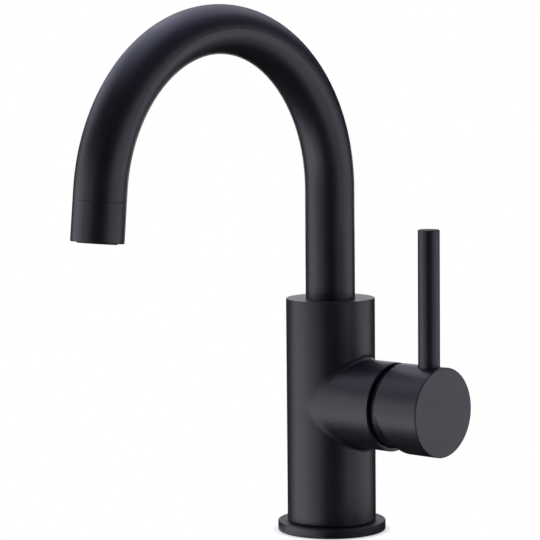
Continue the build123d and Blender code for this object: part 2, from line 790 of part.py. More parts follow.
with BuildPart() as handle_cap:
    with BuildSketch(Plane.XY.offset(branch_z + lever_seat - stud_depth - 1.5)):
        with Locations((lever_x, 0)):
            Circle(boss_r)
    extrude(amount=cap_r)
    with BuildSketch(Plane.XY.offset(branch_z - cap_r)):
        with Locations((lever_x, 0)):
            Circle(tower_r)
    extrude(amount=cap_r)
    with Locations((pivot_x, 0, branch_z)):
        Sphere(dome_r + loose_gap, mode=Mode.SUBTRACT)
    with BuildSketch(stem_plane(hub_start)):
        Circle(hub_r)
    extrude(amount=stem_length + 5 - hub_start)
    with BuildSketch(branch_plane(cap_rear)):
        Circle(cap_wall_room)
    extrude(amount=cap_front - cap_rear - cap_face_t / 2, mode=Mode.INTERSECT)
    with BuildSketch(branch_plane(cap_rear)):
        Circle(cap_r)
        Circle(cap_bore_r, mode=Mode.SUBTRACT)
    extrude(amount=cap_front - cap_rear)
    with BuildSketch(branch_plane(cap_front - cap_face_t)):
        Circle(cap_r)
    extrude(amount=cap_face_t)
    face_rim = handle_cap.edges().filter_by(GeomType.CIRCLE).sort_by(Axis.X)[-1]
    chamfer(face_rim, face_break)
    # Slanted rear cut, from the branch axis down
    cut_depth = 24.0
    with BuildSketch(Plane.XZ):
        Polygon(
            (cap_rear, branch_z),
            (cap_rear + cut_depth * tan(radians(cap_slant)), branch_z - cut_depth),
            (cap_rear - 1, branch_z - cut_depth),
            (cap_rear - 1, branch_z),
            align=None,
        )
    extrude(amount=cap_r + 1, both=True, mode=Mode.SUBTRACT)
    fillet([edge for edge in handle_cap.edges() if on_rear_rim(edge)], rear_break)
    # Square socket for the stem, holes for the lever, its stud and the grub screw
    with BuildSketch(stem_plane(hub_start)):
        Rectangle(2 * (stem_half + run_gap), 2 * (stem_half + run_gap))
    extrude(amount=stem_length + 0.3 - hub_start, mode=Mode.SUBTRACT)
    with BuildSketch(Plane.XY.offset(branch_z + lever_seat)):
        with Locations((lever_x, 0)):
            Circle(lever_r + seat_gap)
    extrude(amount=cap_r, mode=Mode.SUBTRACT)
    with BuildSketch(Plane.XY.offset(branch_z + lever_seat - stud_depth)):
        with Locations((lever_x, 0)):
            Circle(stud_r + seat_gap)
    extrude(amount=stud_depth, mode=Mode.SUBTRACT)
    with BuildSketch(Plane.XY.offset(branch_z + 1)):
        with Locations((lever_x, 0)):
            Circle(screw_r + seat_gap)
    extrude(amount=-cap_r - 1, mode=Mode.SUBTRACT)
write_step(handle_cap, "handle_cap")

# Handle lever: straight round pin with a softened end and a threaded stud below
with BuildPart() as handle_lever:
    with BuildSketch(Plane.XY.offset(branch_z + lever_seat)):
        with Locations((lever_x, 0)):
            Circle(lever_r)
    extrude(amount=lever_top - branch_z - lever_seat)
    fillet(handle_lever.edges().sort_by(Axis.Z)[-1], 0.7)
    with BuildSketch(Plane.XY.offset(branch_z + lever_seat)):
        with Locations((lever_x, 0)):
            Circle(stud_r)
    extrude(amount=-stud_depth + 0.3)
write_step(handle_lever, "handle_lever")

# Grub screw that holds the cap on the stem, reached from below
grub_top = branch_z + 0.1
grub_length = 6.0
grub_point = 1.0
with BuildPart() as handle_grub_screw:
    with BuildSketch(Plane.XY.offset(grub_top - grub_length)):
        with Locations((lever_x, 0)):
            Circle(screw_r)
    extrude(amount=grub_length - grub_point)
    with BuildSketch(Plane.XY.offset(grub_top - grub_point)):
        with Locations((lever_x, 0)):
            Circle(screw_r)
    extrude(amount=grub_point, taper=45)
    with BuildSketch(Plane.XY.offset(grub_top - grub_length)):
        with Locations((lever_x, 0)):
            RegularPolygon(key_half, 6, major_radius=False)
    extrude(amount=key_depth, mode=Mode.SUBTRACT)
write_step(handle_grub_screw, "handle_grub_screw")
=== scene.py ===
"""Looks of a single-hole bathroom sink faucet.

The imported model's nodes get their finishes, three of them are replaced by pieces with more detail
(the threaded shank, the outlet with its seam and the aerator's screen), and the photograph's
camera and studio are set up.

Lengths are in metres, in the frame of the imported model: +Z up, the spout reaches towards -Y,
the handle branch points to +X, and the deck that the flange stands on is at z = 0.
"""
import logging
import math
from collections.abc import Callable
from dataclasses import dataclass
from enum import Enum

import bpy
from mathutils import Matrix, Vector


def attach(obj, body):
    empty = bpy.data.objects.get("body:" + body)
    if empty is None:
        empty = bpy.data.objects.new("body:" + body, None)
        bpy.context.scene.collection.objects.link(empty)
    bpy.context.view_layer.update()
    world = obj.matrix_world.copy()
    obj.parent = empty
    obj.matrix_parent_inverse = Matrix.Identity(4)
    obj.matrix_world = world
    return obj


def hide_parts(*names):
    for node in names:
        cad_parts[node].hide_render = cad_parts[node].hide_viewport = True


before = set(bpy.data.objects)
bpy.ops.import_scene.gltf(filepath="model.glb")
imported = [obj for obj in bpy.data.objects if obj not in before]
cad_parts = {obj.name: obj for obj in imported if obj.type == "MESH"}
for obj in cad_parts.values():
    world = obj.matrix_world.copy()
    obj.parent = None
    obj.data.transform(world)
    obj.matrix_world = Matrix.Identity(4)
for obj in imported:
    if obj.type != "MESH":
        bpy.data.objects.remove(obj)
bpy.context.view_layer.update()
log = logging.getLogger("faucet")

Colour = tuple[float, float, float]
Socket = bpy.types.NodeSocket

MM = 0.001
UP = (0.0, 0.0, 1.0)
WHITE = (1.0, 1.0, 1.0, 1.0)
CUT_SLACK = 0.0001 * MM  # within this distance a cut takes a vertex as lying on it


class Slot(Enum):
    """Material slots of the record."""

    BLACK_COATING = "black_coating"
    BRASS = "brass"
    STEEL = "steel"


class Rider(Enum):
    """Rigid bodies that new pieces ride on."""

    BODY = "body"
    SPOUT = "spout"


class Lathe(Enum):
    """Axes that parts are turned about: a point on each, and the turn that brings it onto +Z."""

    UPRIGHT = ((0.0, 0.0, 0.0), (0.0, 0.0, 0.0))
    BRANCH = ((0.0, 0.0, 66.7 * MM), (0.0, math.radians(-90), 0.0))
    REARWARD = ((0.0, 0.0, 106.1 * MM), (math.radians(90), 0.0, 0.0))
    LEVER = ((63.4 * MM, 0.0, 0.0), (0.0, 0.0, 0.0))
    OUTLET = ((0.0, -164.065 * MM, 158.598 * MM), (math.radians(6), 0.0, 0.0))


class Shade:
    """Node tree of a material or of the world while it is being put together."""

    noise_low: float = 0.3
    noise_high: float = 0.7

    def __init__(self, owner: bpy.types.Material | bpy.types.World) -> None:
        """Start from the nodes that a new material or world has.

        Args:
            owner: The material or world.
        """
        owner.use_nodes = True
        self.owner = owner
        self.tree = owner.node_tree

    @classmethod
    def of_material(cls, name: str) -> "Shade":
        """Start a new material of this name."""
        return cls(bpy.data.materials.new(name))

    def add(self, kind: str, **sockets: object) -> bpy.types.Node:
        """Add a node and fill its input sockets.

        Args:
            kind: Blender's identifier of the node.
            **sockets: Values or output sockets, by input name with spaces as underscores.

        Returns:
            The new node.
        """
        node = self.tree.nodes.new(kind)
        self.fill(node, **sockets)
        return node

    def fill(self, node: bpy.types.Node, **sockets: object) -> None:
        """Fill input sockets of a node, by input name with spaces as underscores."""
        for name, value in sockets.items():
            self.feed(node, name.replace("_", " "), value)

    def feed(self, node: bpy.types.Node, name: str | int, value: object) -> None:
        """Set one input, or link it when the value is an output socket.

        Args:
            node: Node that has the input.
            name: Name or number of the input.
            value: A plain value or an output socket.
        """
        if isinstance(value, Socket):
            self.tree.links.new(value, node.inputs[name])
        else:
            node.inputs[name].default_value = value

    @property
    def shader(self) -> bpy.types.Node:
        """The surface shader that a new material has."""
        return self.tree.nodes["Principled BSDF"]

    def surface(self, **sockets: object) -> None:
        """Set sockets of the surface shader, by input name with spaces as underscores."""
        self.fill(self.shader, **sockets)

    def source(self, name: str) -> Socket:
        """Give the output socket that an input of the surface shader is linked to."""
        return self.shader.inputs[name].links[0].from_socket

    def step(self, operation: str, first: object, second: object = 0.0) -> Socket:
        """Work out one step of arithmetic.

        Args:
            operation: Blender's name of the step.
            first: First number or output socket.
            second: Second number or output socket.

        Returns:
            The result.
        """
        node = self.tree.nodes.new("ShaderNodeMath")
        node.operation = operation
        self.feed(node, 0, first)
        self.feed(node, 1, second)
        return node.outputs[0]

    def ramp(self, value: Socket, start: float, end: float, low: float, high: float) -> Socket:
        """Map one range onto another, and stay within the second one.

        Args:
            value: Number to map.
            start: Number that gives the result low.
            end: Number that gives the result high.
            low: Result at the start.
            high: Result at the end.

        Returns:
            The mapped number.
        """
        node = self.add("ShaderNodeMapRange", Value=value, From_Min=start, From_Max=end,
                        To_Min=low, To_Max=high)
        return node.outputs["Result"]

    def place(self) -> Socket:
        """Give the object coordinates, in metres."""
        return self.add("ShaderNodeTexCoord").outputs["Object"]

    def lathe(self, axis: Lathe) -> tuple[Socket, Socket]:
        """Measure from an axis that parts are turned about.

        Args:
            axis: The axis.

        Returns:
            The distance from the axis and the place along it, in metres.
        """
        centre, turn = axis.value
        moved = self.tree.nodes.new("ShaderNodeVectorMath")
        moved.operation = "SUBTRACT"
        self.feed(moved, 0, self.place())
        self.feed(moved, 1, centre)
        turned = self.add("ShaderNodeMapping", Vector=moved.outputs[0], Rotation=turn)
        parts = self.add("ShaderNodeSeparateXYZ", Vector=turned.outputs[0])
        flat = self.add("ShaderNodeCombineXYZ", X=parts.outputs["X"], Y=parts.outputs["Y"])
        radius = self.tree.nodes.new("ShaderNodeVectorMath")
        radius.operation = "LENGTH"
        self.feed(radius, 0, flat.outputs[0])
        return radius.outputs["Value"], parts.outputs["Z"]

    def noise(self, where: Socket, size: float, detail: float) -> Socket:
        """Add a noise pattern.

        Args:
            where: Coordinates to read.
            size: Size of one spot, in metres.
            detail: Number of finer layers.

        Returns:
            The noise value, 0 to 1.
        """
        node = self.add("ShaderNodeTexNoise", Vector=where, Scale=1 / size, Detail=detail)
        return node.outputs["Fac"]

    def sway(self, noise: Socket, middle: float, reach: float) -> Socket:
        """Let a number sway about its middle as a noise pattern does.

        Args:
            noise: The noise value.
            middle: Middle of the number.
            reach: How far it goes to each side over the usual range of the noise.

        Returns:
            The number.
        """
        return self.ramp(noise, self.noise_low, self.noise_high, middle - reach, middle + reach)

    def blend(self, factor: Socket, first: Colour | Socket, second: Colour | Socket) -> Socket:
        """Mix two colours.

        Args:
            factor: 0 gives the first colour, 1 the second.
            first: First colour, or an output socket.
            second: Second colour, or an output socket.

        Returns:
            The mixed colour.
        """
        node = self.tree.nodes.new("ShaderNodeMix")
        node.data_type = "RGBA"
        self.tree.links.new(factor, node.inputs[0])
        for place, colour in ((6, first), (7, second)):
            self.feed(node, place, (*colour, 1.0) if isinstance(colour, tuple) else colour)
        return node.outputs[2]

    def bump(self, height: Socket, depth: float, under: Socket | None = None) -> Socket:
        """Raise the surface by a pattern.

        Args:
            height: Pattern, 0 to 1.
            depth: Height of the pattern, in metres.
            under: Normal of a coarser pattern below it.

        Returns:
            The normal.
        """
        node = self.add("ShaderNodeBump", Height=height, Strength=1.0, Distance=depth)
        if under is not None:
            self.feed(node, "Normal", under)
        return node.outputs["Normal"]

    def glow(self, level: float = 1.0) -> Socket:
        """Add a shader that gives off plain white light of this level."""
        return self.add("ShaderNodeEmission", Color=WHITE, Strength=level).outputs[0]

    def either(self, factor: Socket, first: Socket, second: Socket) -> Socket:
        """Mix two shaders.

        Args:
            factor: 0 gives the first shader, 1 the second.
            first: First shader.
            second: Second shader.

        Returns:
            The mixed shader.
        """
        node = self.add("ShaderNodeMixShader", Fac=factor)
        self.feed(node, 1, first)
        self.feed(node, 2, second)
        return node.outputs[0]

    def show(self, shader: Socket) -> None:
        """Let the material show this shader in place of the one that it started with."""
        self.feed(self.tree.nodes["Material Output"], "Surface", shader)


@dataclass(frozen=True)
class Coating:
    """Matte black coating on brass: fine grain, faint orange peel and soft clouds in its sheen."""

    name: str = "matte_black_coating"
    colour: Colour = (0.0056, 0.0055, 0.0075)
    cloud: Colour = (0.0062, 0.0061, 0.0081)
    tint: Colour = (0.88, 0.87, 1.0)
    roughness: float = 0.42
    cloud_size: float = 14 * MM
    cloud_sway: float = 0.015
    peel_size: float = 2.2 * MM
    grain_size: float = 0.35 * MM
    grain_sway: float = 0.03
    relief: float = 0.010 * MM
    edge: float = 0.0
    edge_samples: int = 8

    def rounding(self, shade: Shade) -> float | Socket:
        """Give the radius that edges look rounded with.

        Args:
            shade: Node tree to add to, which this finish needs nothing of.

        Returns:
            The radius, the same all over.
        """
        return self.edge

    def shade(self) -> Shade:
        """Build the coating's own nodes.

        Returns:
            The node tree, ready for more.
        """
        shade = Shade.of_material(self.name)
        where = shade.place()
        edges = shade.add("ShaderNodeBevel", Radius=self.rounding(shade))
        edges.samples = self.edge_samples
        clouds = shade.noise(where, self.cloud_size, 3)
        grain = shade.noise(where, self.grain_size, 4)
        peel = shade.noise(where, self.peel_size, 1)
        sheen = shade.sway(clouds, self.roughness, self.cloud_sway)
        orange_peel = shade.bump(peel, self.relief, edges.outputs[0])
        shade.surface(
            Base_Color=shade.blend(clouds, self.colour, self.cloud),
            Roughness=shade.step("ADD", sheen, shade.sway(grain, 0.0, self.grain_sway)),
            Specular_Tint=(*self.tint, 1.0),
            Normal=shade.bump(grain, self.relief, orange_peel),
        )
        return shade

    def material(self) -> bpy.types.Material:
        """Build the material, and return it."""
        return self.shade().owner


@dataclass(frozen=True)
class CoatedCasting(Coating):
    """The same coating on the outside of a casting whose machined inside is bare brass."""

    name: str = "coated_casting"
    brass: Colour = (0.60, 0.42, 0.18)
    polish: float = 0.12
    core: float = 21.5 * MM
    core_top: float = 117.0 * MM
    chamber: float = 19.3 * MM
    chamber_from: float = 8.0 * MM
    chamber_to: float = 38.0 * MM
    blend_radius: float = 6.0 * MM
    blend_near: float = 8.0 * MM
    blend_far: float = 19.0 * MM
    blend_from: float = 20.0 * MM
    blend_to: float = 30.0 * MM

    def rounding(self, shade: Shade) -> Socket:
        """Give the radius of the blend where the branch runs into the body.

        Args:
            shade: Node tree to add to.

        Returns:
            The radius: large where the two are nearly flush, nothing further up and down.
        """
        centre, _ = Lathe.BRANCH.value
        place = shade.add("ShaderNodeSeparateXYZ", Vector=shade.place())
        away = shade.step("ABSOLUTE", shade.step("SUBTRACT", place.outputs["Z"], centre[2]))
        flush = shade.ramp(away, self.blend_near, self.blend_far, self.blend_radius, 0.0)
        inner = shade.ramp(place.outputs["X"], self.blend_from, self.blend_to, 1.0, 0.0)
        return shade.step("MULTIPLY", flush, inner)

    def material(self) -> bpy.types.Material:
        """Build the material, with bare brass in the body's core and in the branch's chamber.

        Returns:
            The finished material.
        """
        shade = self.shade()
        out, height = shade.lathe(Lathe.UPRIGHT)
        round_branch, along = shade.lathe(Lathe.BRANCH)
        core = shade.step("MULTIPLY", shade.step("LESS_THAN", out, self.core),
                          shade.step("LESS_THAN", height, self.core_top))
        depth = shade.step("MULTIPLY", shade.step("GREATER_THAN", along, self.chamber_from),
                           shade.step("LESS_THAN", along, self.chamber_to))
        inside = shade.step("LESS_THAN", round_branch, self.chamber)
        bare = shade.step("MAXIMUM", core, shade.step("MULTIPLY", depth, inside))
        smoother = shade.step("MULTIPLY", bare, self.polish)
        shade.surface(
            Base_Color=shade.blend(bare, shade.source("Base Color"), self.brass),
            Metallic=bare,
            Roughness=shade.step("SUBTRACT", shade.source("Roughness"), smoother),
        )
        return shade.owner


@dataclass(frozen=True)
class Moulded:
    """Moulded plastic or rubber: fine eroded texture from the tool, slight mottling."""

    name: str
    colour: Colour
    mottle: Colour
    roughness: float
    sway: float = 0.06
    flow_size: float = 6 * MM
    texture_size: float = 0.25 * MM
    relief: float = 0.012 * MM
    scatter: float = 0.0
    scatter_depth: float = 1.0 * MM

    def material(self) -> bpy.types.Material:
        """Build the material.

        Returns:
            The finished material.
        """
        shade = Shade.of_material(self.name)
        where = shade.place()
        flow = shade.noise(where, self.flow_size, 3)
        texture = shade.noise(where, self.texture_size, 3)
        shade.surface(
            Base_Color=shade.blend(flow, self.colour, self.mottle),
            Roughness=shade.sway(texture, self.roughness, self.sway),
            Normal=shade.bump(texture, self.relief),
        )
        if self.scatter:
            shade.surface(Subsurface_Weight=self.scatter, Subsurface_Scale=self.scatter_depth)
        return shade.owner


@dataclass(frozen=True)
class Turned:
    """Turned metal: fine tool marks round the axis that the part was turned about."""

    name: str
    colour: Colour
    stain: Colour
    roughness: float
    axis: Lathe
    sway: float = 0.07
    mark_size: float = 0.12 * MM
    stain_size: float = 9 * MM
    relief: float = 0.004 * MM

    def material(self) -> bpy.types.Material:
        """Build the material.

        Returns:
            The finished material.
        """
        shade = Shade.of_material(self.name)
        out, along = shade.lathe(self.axis)
        path = shade.add("ShaderNodeCombineXYZ", X=out, Y=along)
        marks = shade.noise(path.outputs[0], self.mark_size, 3)
        stain = shade.noise(shade.place(), self.stain_size, 4)
        shade.surface(
            Base_Color=shade.blend(stain, self.colour, self.stain),
            Metallic=1.0,
            Roughness=shade.sway(marks, self.roughness, self.sway),
            Normal=shade.bump(marks, self.relief),
        )
        return shade.owner


@dataclass(frozen=True)
class Lapped:
    """Fired ceramic, lapped flat: faint fine grain and sparse darker specks."""

    name: str = "lapped_ceramic"
    colour: Colour = (0.80, 0.78, 0.73)
    speck: Colour = (0.70, 0.68, 0.62)
    roughness: float = 0.16
    sway: float = 0.04
    speck_size: float = 0.5 * MM
    grain_size: float = 0.15 * MM
    relief: float = 0.002 * MM
    scatter: float = 0.15
    scatter_depth: float = 0.6 * MM

    def material(self) -> bpy.types.Material:
        """Build the material.

        Returns:
            The finished material.
        """
        shade = Shade.of_material(self.name)
        where = shade.place()
        specks = shade.noise(where, self.speck_size, 5)
        grain = shade.noise(where, self.grain_size, 2)
        shade.surface(
            Base_Color=shade.blend(shade.sway(specks, 0.5, 0.5), self.colour, self.speck),
            Roughness=shade.sway(grain, self.roughness, self.sway),
            Subsurface_Weight=self.scatter,
            Subsurface_Scale=self.scatter_depth,
            Normal=shade.bump(grain, self.relief),
        )
        return shade.owner


BRASS = ((0.66, 0.46, 0.19), (0.55, 0.37, 0.15))
STEEL = ((0.52, 0.52, 0.53), (0.43, 0.43, 0.44))


class Finish(Enum):
    """Finishes of the faucet's pieces."""

    COATING = Coating()
    SOFT_COATING = Coating("soft_edged_coating", edge=0.9 * MM)
    CASTING = CoatedCasting()
    BLACK_PLASTIC = Moulded("black_acetal", (0.012, 0.012, 0.013), (0.016, 0.016, 0.017), 0.38)
    GREY_PLASTIC = Moulded("grey_acetal", (0.23, 0.24, 0.25), (0.27, 0.28, 0.29), 0.42,
                           scatter=0.05)
    WHITE_PLASTIC = Moulded("white_acetal", (0.70, 0.70, 0.67), (0.76, 0.76, 0.73), 0.38,
                            scatter=0.15)
    RUBBER = Moulded("black_rubber", (0.012, 0.012, 0.012), (0.020, 0.020, 0.019), 0.72,
                     relief=0.02 * MM)
    CERAMIC = Lapped()
    UPRIGHT_BRASS = Turned("upright_brass", *BRASS, 0.30, Lathe.UPRIGHT)
    BRANCH_BRASS = Turned("branch_brass", *BRASS, 0.30, Lathe.BRANCH)
    UPRIGHT_STEEL = Turned("upright_steel", *STEEL, 0.28, Lathe.UPRIGHT)
    SCREW_STEEL = Turned("screw_steel", *STEEL, 0.32, Lathe.REARWARD)
    GRUB_STEEL = Turned("grub_steel", *STEEL, 0.32, Lathe.LEVER)
    STEM_STEEL = Turned("stem_steel", *STEEL, 0.34, Lathe.BRANCH)
    SCREEN_STEEL = Turned("screen_steel", *STEEL, 0.26, Lathe.OUTLET)


class Workshop:
    """Hand-work on meshes with Blender's own operators, and the dressing of pieces."""

    made: dict[Finish, bpy.types.Material] = {}

    @classmethod
    def material(cls, finish: Finish) -> bpy.types.Material:
        """Give a finish's material, built once.

        Args:
            finish: The finish.

        Returns:
            Its material.
        """
        if finish not in cls.made:
            cls.made[finish] = finish.value.material()
        return cls.made[finish]

    @classmethod
    def dress(cls, node: str, finish: Finish) -> None:
        """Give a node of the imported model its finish.

        Args:
            node: Name of the node.
            finish: The finish.
        """
        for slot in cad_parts[node].material_slots:
            slot.material = cls.material(finish)
        log.info("%s: %s", node, finish.value.name)

    @staticmethod
    def clear() -> None:
        """Leave edit mode and deselect everything."""
        if bpy.context.object and bpy.context.object.mode != "OBJECT":
            bpy.ops.object.mode_set(mode="OBJECT")
        bpy.ops.object.select_all(action="DESELECT")

    @classmethod
    def hold(cls, piece: bpy.types.Object) -> None:
        """Make one object the only selected and the active one.

        Args:
            piece: The object.
        """
        cls.clear()
        piece.select_set(True)
        bpy.context.view_layer.objects.active = piece

    @staticmethod
    def settle() -> bpy.types.Object:
        """Bring the place of the object just added into its mesh, and return the object."""
        bpy.ops.object.transform_apply(location=True, rotation=False, scale=False)
        return bpy.context.object

    @classmethod
    def cylinder(cls, radius: float, depth: float, sides: int,
                 foot: float = 0.0) -> bpy.types.Object:
        """Add an upright cylinder on the faucet's axis.

        Args:
            radius: Its radius.
            depth: Its height.
            sides: Number of sides.
            foot: Height that it starts from.

        Returns:
            The cylinder.
        """
        cls.clear()
        bpy.ops.mesh.primitive_cylinder_add(vertices=sides, radius=radius, depth=depth,
                                            end_fill_type="NGON",
                                            location=(0.0, 0.0, foot + depth / 2))
        return cls.settle()

    @classmethod
    def pick(cls, piece: bpy.types.Object, kind: str, wanted: Callable[[Vector], bool]) -> None:
        """Go into edit mode with the vertices, edges or faces selected whose middle is wanted.

        Args:
            piece: The object.
            kind: "VERT", "EDGE" or "FACE".
            wanted: Tells from a place whether what lies there is wanted.
        """
        cls.hold(piece)
        bpy.ops.object.mode_set(mode="EDIT")
        bpy.ops.mesh.select_mode(type=kind)
        bpy.ops.mesh.select_all(action="DESELECT")
        bpy.ops.object.mode_set(mode="OBJECT")
        mesh = piece.data
        if kind == "VERT":
            middles = [(vertex, vertex.co) for vertex in mesh.vertices]
        elif kind == "EDGE":
            ends = [vertex.co for vertex in mesh.vertices]
            middles = [(edge, (ends[edge.vertices[0]] + ends[edge.vertices[1]]) / 2)
                       for edge in mesh.edges]
        else:
            middles = [(face, face.center) for face in mesh.polygons]
        for part, middle in middles:
            if wanted(middle):
                part.select = True
        bpy.ops.object.mode_set(mode="EDIT")

    @staticmethod
    def cut(height: float, way: float = 1.0, clear_outer: bool = False) -> None:
        """Cut level through what is selected in edit mode.

        Args:
            height: Height of the cut.
            way: 1 when the outer side is above the cut, -1 when it is below.
            clear_outer: Whether what lies on the outer side goes.
        """
        bpy.ops.mesh.bisect(plane_co=(0.0, 0.0, height), plane_no=(0.0, 0.0, way),
                            clear_outer=clear_outer, threshold=CUT_SLACK)

    @staticmethod
    def raise_ring(out: float, up: float) -> None:
        """Extrude what is selected in edit mode by this much outward, along X, and up."""
        bpy.ops.mesh.extrude_region_move(TRANSFORM_OT_translate={"value": (out, 0.0, up)})

    @classmethod
    def apply(cls, piece: bpy.types.Object, kind: str, **settings: object) -> None:
        """Add a modifier and apply it.

        Args:
            piece: The object.
            kind: Blender's identifier of the modifier.
            **settings: The modifier's settings.
        """
        cls.hold(piece)
        modifier = piece.modifiers.new(kind.title(), kind)
        for setting, value in settings.items():
            setattr(modifier, setting, value)
        bpy.ops.object.modifier_apply(modifier=modifier.name)

    @classmethod
    def trim(cls, piece: bpy.types.Object, envelope: bpy.types.Object) -> None:
        """Leave only what lies inside an envelope, which is used up.

        Args:
            piece: The object.
            envelope: The envelope.
        """
        cls.apply(piece, "BOOLEAN", operation="INTERSECT", object=envelope, solver="EXACT")
        mesh = envelope.data
        bpy.data.objects.remove(envelope)
        bpy.data.meshes.remove(mesh)

    @classmethod
    def finish(cls, piece: bpy.types.Object, name: str, material: bpy.types.Material,
               angle: float = 35.0) -> None:
        """Name a new piece, bring its place into its mesh, shade it and give it its material.

        Args:
            piece: The object.
            name: Its name.
            material: Its material.
            angle: Steepest edge that still looks smooth, in degrees.
        """
        cls.hold(piece)
        bpy.ops.object.transform_apply(location=True, rotation=True, scale=True)
        bpy.ops.object.shade_smooth_by_angle(angle=math.radians(angle))
        piece.name = name
        piece.data.name = name
        piece.data.materials.clear()
        piece.data.materials.append(material)
        cls.clear()

    @classmethod
    def register(cls, piece: bpy.types.Object, rider: Rider, slot: Slot, node: str) -> None:
        """Let a new piece ride on a body in place of a node.

        Args:
            piece: The object.
            rider: Body that it rides on.
            slot: Material slot of the record; not used.
            node: Node that it stands for.
        """
        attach(piece, rider.value)
        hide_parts(node)
        log.info("%s stands for %s: %d faces", piece.name, node, len(piece.data.polygons))


@dataclass
class Assembly:
    """Sub-assembly: the finishes of its nodes, and what it models anew."""

    finishes: tuple[tuple[str, Finish], ...] = ()

    def model(self) -> None:
        """Model new pieces. A sub-assembly whose solids are enough has none."""

    def build(self) -> None:
        """Model the new pieces and dress the others."""
        self.model()
        for node, finish in self.finishes:
            Workshop.dress(node, finish)


@dataclass
class DeckClamp(Assembly):
    """Hollow threaded shank through the deck, with its rubber washer, steel washer and nut."""

    finishes: tuple[tuple[str, Finish], ...] = (
        ("rubber_washer", Finish.RUBBER),
        ("steel_washer", Finish.UPRIGHT_STEEL),
        ("mounting_nut", Finish.UPRIGHT_BRASS),
    )
    crest_r: float = 16.0 * MM
    root_r: float = 15.15 * MM
    bore_r: float = 14.0 * MM
    top: float = 17.0 * MM
    bottom: float = -52.0 * MM
    pitch: float = 1.5 * MM
    root: float = 0.16 * MM
    flank: float = 0.49 * MM
    crest: float = 0.20 * MM
    lead_in: float = 1.1 * MM
    spare: float = 0.4 * MM
    spare_turns: int = 2
    overrun: float = 0.3 * MM
    weld: float = 0.002 * MM
    steps: int = 72
    sides: int = 150
    smooth: float = 25.0

    def thread(self) -> bpy.types.Object:
        """Draw one pitch of the thread's outline and wind it up the shank, past both ends.

        Returns:
            The thread's outer skin, in edit mode and open at both ends.
        """
        turns = math.ceil((self.top - self.bottom) / self.pitch) + self.spare_turns
        depth = self.crest_r - self.root_r
        half = self.pitch / 2
        Workshop.clear()
        bpy.ops.mesh.primitive_plane_add(
            size=self.pitch, location=(self.root_r + half, half, self.bottom - self.pitch))
        skin = Workshop.settle()
        Workshop.pick(skin, "VERT", lambda at: at.x > self.crest_r or at.y > half)
        bpy.ops.mesh.delete(type="VERT")
        bpy.ops.mesh.select_all(action="SELECT")
        for out, up in ((0.0, self.root), (depth, self.flank), (0.0, self.crest),
                        (-depth, self.flank), (0.0, self.root)):
            Workshop.raise_ring(out, up)
        bpy.ops.object.mode_set(mode="OBJECT")
        Workshop.apply(skin, "SCREW", axis="Z", angle=math.tau, screw_offset=self.pitch,
                       iterations=turns, steps=self.steps, render_steps=self.steps)
        Workshop.hold(skin)
        bpy.ops.object.mode_set(mode="EDIT")
        bpy.ops.mesh.select_all(action="SELECT")
        bpy.ops.mesh.remove_doubles(threshold=self.weld)
        return skin

    def envelope(self) -> bpy.types.Object:
        """Turn the tube with long chamfers that gives the shank its bore and its ends.

        Returns:
            The tube.
        """
        tube = Workshop.cylinder(self.crest_r + self.spare, self.top - self.bottom, self.sides,
                                 self.bottom)
        Workshop.pick(tube, "FACE", lambda at: at.xy.length < self.pitch)
        bpy.ops.mesh.bevel(offset=self.lead_in + self.spare, segments=1)
        Workshop.pick(tube, "FACE", lambda at: at.xy.length < self.pitch)
        bpy.ops.mesh.inset(thickness=self.crest_r - self.lead_in - self.bore_r, depth=0.0)
        bpy.ops.mesh.bridge_edge_loops()
        bpy.ops.object.mode_set(mode="OBJECT")
        return tube

    def model(self) -> None:
        """Model the shank: a hollow tube with a thread all the way."""
        skin = self.thread()
        for end, way in ((self.bottom - self.overrun, -1.0), (self.top + self.overrun, 1.0)):
            bpy.ops.mesh.select_all(action="SELECT")
            Workshop.cut(end, way, clear_outer=True)
        bpy.ops.mesh.select_all(action="SELECT")
        bpy.ops.mesh.fill_holes(sides=0)
        bpy.ops.mesh.select_all(action="SELECT")
        bpy.ops.mesh.normals_make_consistent(inside=False)
        bpy.ops.object.mode_set(mode="OBJECT")
        Workshop.trim(skin, self.envelope())
        Workshop.finish(skin, "threaded_shank", Workshop.material(Finish.UPRIGHT_BRASS),
                        self.smooth)
        Workshop.register(skin, Rider.BODY, Slot.BRASS, "mounting_shank")


@dataclass
class MixerBody(Assembly):
    """Upright body with its branch, the flange under it, and the spout's set screw."""

    finishes: tuple[tuple[str, Finish], ...] = (
        ("body_casting", Finish.CASTING),
        ("base_flange", Finish.COATING),
        ("base_gasket", Finish.RUBBER),
        ("spout_set_screw", Finish.SCREW_STEEL),
    )


